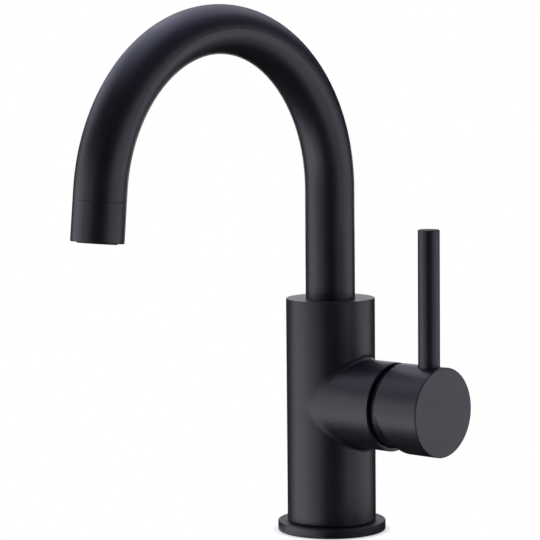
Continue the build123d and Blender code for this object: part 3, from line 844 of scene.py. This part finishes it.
@dataclass
class Spout(Assembly):
    """Bent tube with its straight outlet, and the rings that seal and guide its foot."""

    finishes: tuple[tuple[str, Finish], ...] = (
        ("spout_tube", Finish.COATING),
        ("spout_base_insert", Finish.UPRIGHT_BRASS),
        ("spout_o_rings", Finish.RUBBER),
        ("spout_slip_rings", Finish.WHITE_PLASTIC),
        ("spout_thrust_washer", Finish.WHITE_PLASTIC),
    )
    tube_r: float = 12.5 * MM
    length: float = 24.0 * MM
    plug_r: float = 10.9 * MM
    plug_h: float = 4.0 * MM
    bore_r: float = 8.6 * MM
    seat_r: float = 9.5 * MM
    seat_h: float = 11.5 * MM
    foot_round: float = 0.6 * MM
    foot_steps: int = 6
    hold_h: float = 0.9 * MM
    seam_h: float = 19.05 * MM
    seam_depth: float = 0.09 * MM
    seam_half: float = 0.42 * MM
    sides: int = 144
    fine: float = 0.02 * MM

    @staticmethod
    def outlet() -> Matrix:
        """Give the place of the outlet: its foot and its tilt."""
        centre, turn = Lathe.OUTLET.value
        return Matrix.Translation(Vector(centre)) @ Matrix.Rotation(-turn[0], 4, "X")

    def blank(self) -> bpy.types.Object:
        """Turn the sleeve's plain form: plug above, stepped bore, rounded foot.

        Returns:
            The blank, upright.
        """
        rim = self.tube_r - 2 * self.fine
        blank = Workshop.cylinder(self.tube_r, self.length, self.sides)
        Workshop.pick(blank, "FACE", lambda at: at.z > self.length - self.fine)
        bpy.ops.mesh.inset(thickness=self.tube_r - self.plug_r, depth=0.0)
        Workshop.raise_ring(0.0, self.plug_h)
        bpy.ops.mesh.inset(thickness=self.plug_r - self.bore_r, depth=0.0)
        Workshop.pick(blank, "FACE", lambda at: at.z < self.fine)
        bpy.ops.mesh.inset(thickness=self.tube_r - self.seat_r, depth=0.0)
        Workshop.raise_ring(0.0, self.seat_h)
        bpy.ops.mesh.inset(thickness=self.seat_r - self.bore_r, depth=0.0)
        Workshop.pick(blank, "FACE", lambda at: at.xy.length < self.fine)
        bpy.ops.mesh.bridge_edge_loops()
        Workshop.pick(blank, "EDGE", lambda at: at.z < self.fine and at.xy.length > rim)
        bpy.ops.mesh.bevel(offset=self.foot_round, segments=self.foot_steps)
        bpy.ops.object.mode_set(mode="OBJECT")
        return blank

    def model(self) -> None:
        """Make the outlet sleeve: flush with the tube, its seam scored where it shows."""
        sleeve = self.blank()
        below_plug = self.length - self.fine
        loops = (self.seam_h - self.seam_half, self.seam_h, self.seam_h + self.seam_half)
        for height in (self.hold_h, *loops):
            Workshop.pick(sleeve, "FACE", lambda at: self.foot_round < at.z < below_plug
                          and at.xy.length > self.plug_r)
            Workshop.cut(height)
        Workshop.pick(sleeve, "VERT", lambda at: abs(at.z - self.seam_h) < self.fine)
        share = 1 - self.seam_depth / self.tube_r
        bpy.ops.transform.resize(value=(share, share, 1.0),
                                 center_override=(0.0, 0.0, self.seam_h))
        Workshop.pick(sleeve, "EDGE",
                      lambda at: any(abs(at.z - height) < self.fine for height in loops))
        bpy.ops.mesh.mark_sharp()
        bpy.ops.object.mode_set(mode="OBJECT")
        sleeve.matrix_world = self.outlet()
        Workshop.finish(sleeve, "seamed_outlet", Workshop.material(Finish.COATING))
        Workshop.register(sleeve, Rider.SPOUT, Slot.BLACK_COATING, "outlet_sleeve")


@dataclass
class Aerator(Assembly):
    """Threaded housing, honeycomb insert, screen of fine wires, and gasket."""

    finishes: tuple[tuple[str, Finish], ...] = (
        ("aerator_housing", Finish.BLACK_PLASTIC),
        ("aerator_insert", Finish.GREY_PLASTIC),
        ("aerator_gasket", Finish.RUBBER),
    )
    foot: float = 7.4 * MM
    rim_r: float = 8.2 * MM
    rim_t: float = 0.5 * MM
    rim_break: float = 0.08 * MM
    break_angle: float = 50.0
    sides: int = 96
    mesh_r: float = 6.8 * MM
    margin: float = 0.186 * MM
    grip: float = 0.248 * MM
    crown_r: float = 5.3 * MM
    crown_h: float = 1.9 * MM
    pitch: float = 0.62 * MM
    wire: float = 0.24 * MM

    def wires(self) -> bpy.types.Object:
        """Weave the mesh and raise its middle into a flat-topped dome.

        Returns:
            The mesh of wires.
        """
        cells = round(2 * self.mesh_r / self.pitch)
        Workshop.clear()
        bpy.ops.mesh.primitive_grid_add(x_subdivisions=cells, y_subdivisions=cells,
                                        size=2 * self.mesh_r, location=(0.0, 0.0, self.rim_t / 2))
        mesh = Workshop.settle()
        Workshop.pick(mesh, "FACE", lambda at: at.xy.length > self.mesh_r - self.margin)
        bpy.ops.mesh.delete(type="FACE")
        Workshop.pick(mesh, "VERT", lambda at: at.xy.length < self.crown_r)
        bpy.ops.transform.translate(value=(0.0, 0.0, self.crown_h))
        bpy.ops.object.mode_set(mode="OBJECT")
        Workshop.apply(mesh, "WIREFRAME", thickness=self.wire, use_even_offset=True,
                       use_boundary=True)
        return mesh

    def rim(self) -> bpy.types.Object:
        """Make the flat ring that holds the ends of the wires.

        Returns:
            The ring.
        """
        ring = Workshop.cylinder(self.rim_r, self.rim_t, self.sides)
        Workshop.pick(ring, "FACE", lambda at: at.xy.length < self.pitch)
        bpy.ops.mesh.inset(thickness=self.rim_r - self.mesh_r + self.grip, depth=0.0)
        bpy.ops.mesh.bridge_edge_loops()
        bpy.ops.object.mode_set(mode="OBJECT")
        Workshop.apply(ring, "BEVEL", width=self.rim_break, segments=2, limit_method="ANGLE",
                       angle_limit=math.radians(self.break_angle))
        return ring

    def model(self) -> None:
        """Make the screen: wires and ring, seated on the insert in the tilted outlet."""
        mesh = self.wires()
        ring = self.rim()
        Workshop.hold(ring)
        mesh.select_set(True)
        bpy.ops.object.join()
        ring.matrix_world = Spout.outlet() @ Matrix.Translation((0.0, 0.0, self.foot))
        Workshop.finish(ring, "woven_screen", Workshop.material(Finish.SCREEN_STEEL))
        Workshop.register(ring, Rider.SPOUT, Slot.STEEL, "aerator_screen")


@dataclass
class Cartridge(Assembly):
    """Ceramic cartridge in the branch, with its nut and the trim cover round its neck."""

    finishes: tuple[tuple[str, Finish], ...] = (
        ("cartridge_cover", Finish.COATING),
        ("cartridge_nut", Finish.BRANCH_BRASS),
        ("cartridge_housing", Finish.GREY_PLASTIC),
        ("cartridge_base", Finish.GREY_PLASTIC),
        ("base_port_seals", Finish.RUBBER),
        ("disc_seal", Finish.RUBBER),
        ("carrier_seal", Finish.RUBBER),
        ("fixed_ceramic_disc", Finish.CERAMIC),
        ("moving_ceramic_disc", Finish.CERAMIC),
        ("disc_carrier", Finish.WHITE_PLASTIC),
        ("cartridge_rotor", Finish.WHITE_PLASTIC),
        ("stem_pin", Finish.STEM_STEEL),
        ("cartridge_stem", Finish.STEM_STEEL),
    )


@dataclass
class Handle(Assembly):
    """Hollow cap with its pin lever and the grub screw that fixes it to the stem."""

    finishes: tuple[tuple[str, Finish], ...] = (
        ("handle_cap", Finish.SOFT_COATING),
        ("handle_lever", Finish.COATING),
        ("handle_grub_screw", Finish.GRUB_STEEL),
    )


def direction(azimuth: float, elevation: float = 0.0) -> Vector:
    """Give the direction away from the faucet at two angles.

    Args:
        azimuth: Angle round the faucet in degrees: 0 is -Y and 90 is +X.
        elevation: Angle above the level, in degrees.

    Returns:
        The direction, of length 1.
    """
    turn, rise = math.radians(azimuth), math.radians(elevation)
    return Vector((math.cos(rise) * math.sin(turn), -math.cos(rise) * math.cos(turn),
                   math.sin(rise)))


@dataclass
class PhotoCamera:
    """Camera of the photograph, from a fit to the outlines of all main parts."""

    azimuth: float = 40.468
    distance: float = 1.29835
    height: float = 0.26423
    pitch: float = 5.7736
    yaw: float = 1.3440
    roll: float = -0.5171
    focal_pixels: float = 2579.4
    photo_pixels: float = 540
    sensor: float = 36.0
    near: float = 0.05
    far: float = 50.0

    def turn(self) -> Matrix:
        """Work out which way the camera faces: straight at the axis, then yawed, pitched, rolled.

        Returns:
            The rotation.
        """
        pitch, yaw, roll = (math.radians(angle) for angle in (self.pitch, self.yaw, self.roll))
        ahead = -direction(self.azimuth)
        above = Vector(UP)
        aside = ahead.cross(above)
        level = math.cos(yaw) * ahead - math.sin(yaw) * aside
        right = math.cos(yaw) * aside + math.sin(yaw) * ahead
        view = math.cos(pitch) * level - math.sin(pitch) * above
        upward = math.cos(pitch) * above + math.sin(pitch) * level
        right, upward = (math.cos(roll) * right + math.sin(roll) * upward,
                         math.cos(roll) * upward - math.sin(roll) * right)
        return Matrix((right, upward, -view)).transposed().to_4x4()

    def build(self) -> None:
        """Create the camera and make it the scene's."""
        data = bpy.data.cameras.new("photo_camera")
        data.lens = self.focal_pixels / self.photo_pixels * self.sensor
        data.sensor_width = self.sensor
        data.clip_start = self.near
        data.clip_end = self.far
        camera = bpy.data.objects.new("photo_camera", data)
        bpy.context.scene.collection.objects.link(camera)
        azimuth = math.radians(self.azimuth)
        place = Vector((self.distance * math.sin(azimuth), -self.distance * math.cos(azimuth),
                        self.height))
        camera.matrix_world = Matrix.Translation(place) @ self.turn()
        bpy.context.scene.camera = camera


@dataclass
class Softbox:
    """Soft lamp that faces the faucet from one side."""

    name: str
    azimuth: float
    elevation: float
    distance: float
    width: float
    tall: float
    radiance: float
    tint: Colour
    aim: float = 0.14

    def build(self) -> None:
        """Create the lamp."""
        data = bpy.data.lights.new(self.name, "AREA")
        data.shape = "RECTANGLE"
        data.size = self.width
        data.size_y = self.tall
        data.energy = self.radiance * math.pi * self.width * self.tall
        data.color = self.tint
        lamp = bpy.data.objects.new(self.name, data)
        bpy.context.scene.collection.objects.link(lamp)
        away = direction(self.azimuth, self.elevation)
        lamp.location = Vector((0.0, 0.0, self.aim)) + away * self.distance
        lamp.rotation_euler = (-away).to_track_quat("-Z", "Y").to_euler()
        lamp.visible_camera = False
        log.info("lamp %s", self.name)


@dataclass
class Studio:
    """White surround, pale floor, soft lamps, and dark cards that only reflections see; the apron
    among them is painted shade on the floor.
    """

    floor_level: float = -0.1 * MM
    floor_radius: float = 0.031
    floor_reach: float = 2.0
    floor_sides: int = 128
    floor_grey: float = 0.9
    shade_radius: float = 0.027
    floor_white: float = 0.45
    # The apron: a dark part-ring on the floor, painted shade that only reflections see.
    apron_level: float = -0.05 * MM
    apron_radius: float = 0.028
    apron_reach: float = 0.070
    apron_from: float = 30.0
    apron_to: float = 190.0
    shell_radius: float = 3.0
    shell_height: float = 0.15
    shell_rings: int = 24
    card_level: float = 0.01
    ambient: float = 0.25
    lamps: tuple[Softbox, ...] = (
        Softbox("key_high_left", -52.0, 8.0, 1.2, 1.0, 0.40, 1.83, (0.93, 0.96, 1.00)),
        Softbox("key_high_right", -13.0, 8.0, 1.2, 1.0, 0.40, 1.40, (0.94, 0.90, 1.00)),
        Softbox("key_middle_left", -52.0, -8.0, 1.2, 1.0, 0.40, 1.32, (1.00, 0.96, 0.97)),
        Softbox("key_low_left", -52.0, -26.0, 1.2, 1.0, 0.55, 1.74, (0.94, 0.93, 1.00)),
        Softbox("key_low_right", -13.0, -26.0, 1.2, 1.0, 0.55, 2.29, (0.92, 0.96, 1.00)),
        Softbox("top_back", -150.0, 48.0, 1.3, 1.3, 1.10, 1.22, (0.87, 0.83, 1.00)),
        Softbox("top_left", -85.0, 38.0, 1.3, 1.4, 0.90, 1.63, (0.79, 0.81, 1.00)),
        Softbox("overhead", -90.0, 80.0, 1.3, 1.0, 1.00, 1.78, (0.74, 0.75, 1.00)),
        Softbox("right_high_near", 103.0, 5.0, 1.2, 0.8, 0.40, 2.05, (1.00, 0.96, 0.99)),
        Softbox("right_high_far", 138.0, 5.0, 1.2, 0.8, 0.40, 0.72, (0.85, 0.85, 1.00)),
        Softbox("right_middle_far", 140.0, -10.0, 1.2, 0.9, 0.40, 1.71, (0.99, 0.97, 1.00)),
        Softbox("right_low_near", 101.0, -30.0, 1.2, 0.9, 0.60, 1.57, (0.93, 0.98, 1.00)),
        Softbox("right_low_far", 138.0, -30.0, 1.2, 0.9, 0.60, 0.51, (0.80, 0.81, 1.00)),
        Softbox("right_edge", 80.0, -5.0, 1.2, 0.3, 0.80, 0.93, (0.76, 0.75, 1.00)),
        Softbox("top_right", 165.0, 45.0, 1.3, 0.9, 1.00, 0.43, (0.58, 0.65, 1.00)),
        Softbox("right_top", 90.0, 60.0, 1.3, 1.0, 0.80, 0.26, (0.45, 0.48, 1.00)),
        Softbox("backdrop", 220.0, 3.0, 0.33, 0.33, 0.065, 2.50, (1.00, 1.00, 1.00)),
    )

    def seen(self, shade: Shade) -> Socket:
        """Tell whether the camera, a reflection or a refraction looks at a surface.

        Args:
            shade: Node tree to add to.

        Returns:
            1 for such a ray, otherwise 0.
        """
        path = shade.add("ShaderNodeLightPath")
        total = path.outputs["Is Camera Ray"]
        for name in ("Is Glossy Ray", "Is Transmission Ray"):
            total = shade.step("MAXIMUM", total, path.outputs[name])
        return total

    def world(self) -> None:
        """Make the world white to look at and plain as a light."""
        world = bpy.data.worlds.new("white_surround")
        bpy.context.scene.world = world
        shade = Shade(world)
        level = shade.ramp(self.seen(shade), 0.0, 1.0, self.ambient, 1.0)
        shade.fill(shade.tree.nodes["Background"], Color=WHITE, Strength=level)

    def disc(self, radius: float, level: float) -> bpy.types.Object:
        """Lay a flat disc under the faucet.

        Args:
            radius: Its radius.
            level: Its height.

        Returns:
            The disc.
        """
        Workshop.clear()
        bpy.ops.mesh.primitive_circle_add(vertices=self.floor_sides, radius=radius,
                                          fill_type="NGON", location=(0.0, 0.0, level))
        return bpy.context.object

    def ring(self, inner: float, outer: float, level: float) -> bpy.types.Object:
        """Lay a flat ring round the faucet.

        Args:
            inner: Inner radius.
            outer: Outer radius.
            level: Its height.

        Returns:
            The ring.
        """
        ring = self.disc(outer, level)
        flat = math.cos(math.pi / self.floor_sides)
        Workshop.pick(ring, "FACE", lambda _: True)
        bpy.ops.mesh.inset(thickness=flat * (outer - inner), depth=0.0)
        bpy.ops.mesh.delete(type="FACE")
        bpy.ops.object.mode_set(mode="OBJECT")
        return ring

    def floor(self) -> None:
        """Lay the round middle of the floor, which catches the faucet's soft shadow."""
        floor = self.disc(self.floor_radius, self.floor_level)
        shade = Shade.of_material("pale_floor")
        grey = (self.floor_grey, self.floor_grey, self.floor_grey, 1.0)
        diffuse = shade.add("ShaderNodeBsdfDiffuse", Color=grey)
        out, _ = shade.lathe(Lathe.UPRIGHT)
        fade = shade.ramp(out, self.shade_radius, self.floor_radius, self.floor_white, 1.0)
        share = shade.step("MULTIPLY", self.seen(shade), fade)
        shade.show(shade.either(share, diffuse.outputs[0], shade.glow()))
        Workshop.finish(floor, "floor", shade.owner)

    def wide_floor(self) -> None:
        """Lay the rest of the floor: white from above, and open to low lamps and to a low view."""
        ring = self.ring(self.floor_radius, self.floor_reach, self.floor_level)
        shade = Shade.of_material("wide_floor")
        below = shade.add("ShaderNodeNewGeometry").outputs["Backfacing"]
        clear = shade.add("ShaderNodeBsdfTransparent").outputs[0]
        shade.show(shade.either(below, shade.glow(), clear))
        Workshop.finish(ring, "wide_floor", shade.owner)
        ring.visible_glossy = False
        self.hide_from_light(ring)

    @staticmethod
    def hide_from_light(backdrop: bpy.types.Object) -> None:
        """Let a backdrop neither light the faucet nor throw a shadow on it.

        Args:
            backdrop: The backdrop.
        """
        backdrop.visible_diffuse = False
        backdrop.visible_transmission = False
        backdrop.visible_shadow = False
        backdrop.visible_volume_scatter = False

    def shell(self) -> bpy.types.Object:
        """Stand a ball round the whole studio, and return it."""
        Workshop.clear()
        bpy.ops.mesh.primitive_uv_sphere_add(segments=2 * self.shell_rings,
                                             ring_count=self.shell_rings,
                                             radius=self.shell_radius,
                                             location=(0.0, 0.0, self.shell_height))
        return bpy.context.object

    def apron(self) -> bpy.types.Object:
        """Lay part of a dark ring on the floor, on the side where low lamps don't reach the foot:
        painted shade that only reflections see.

        Returns:
            The part of the ring.
        """
        def outside(at: Vector) -> bool:
            """Tell whether a place lies outside the part that stays."""
            azimuth = math.degrees(math.atan2(at.x, -at.y)) % 360
            return not self.apron_from < azimuth < self.apron_to

        apron = self.ring(self.apron_radius, self.apron_reach, self.apron_level)
        Workshop.pick(apron, "FACE", outside)
        bpy.ops.mesh.delete(type="FACE")
        bpy.ops.object.mode_set(mode="OBJECT")
        return apron

    def cards(self) -> None:
        """Put up the dark shell and the dark apron, which only reflections see; the apron is
        painted shade beside the foot.
        """
        shade = Shade.of_material("dark_card")
        shade.show(shade.glow(self.card_level))
        # The apron paints shade into the reflections of the floor beside the foot.
        for card, name in ((self.shell(), "dark_shell"), (self.apron(), "painted_shade_apron")):
            Workshop.finish(card, name, shade.owner)
            card.visible_camera = False
            self.hide_from_light(card)

    def build(self) -> None:
        """Set up the whole studio."""
        bpy.context.scene.view_settings.view_transform = "Standard"
        self.world()
        self.floor()
        self.wide_floor()
        self.cards()
        for lamp in self.lamps:
            lamp.build()


def main() -> None:
    """Build the camera, the studio and every sub-assembly."""
    logging.basicConfig(level=logging.INFO, format="%(name)s: %(message)s")
    PhotoCamera().build()
    Studio().build()
    for assembly in (DeckClamp(), MixerBody(), Spout(), Aerator(), Cartridge(), Handle()):
        assembly.build()
        log.info("%s built", type(assembly).__name__)


if __name__ == "__main__":
    main()
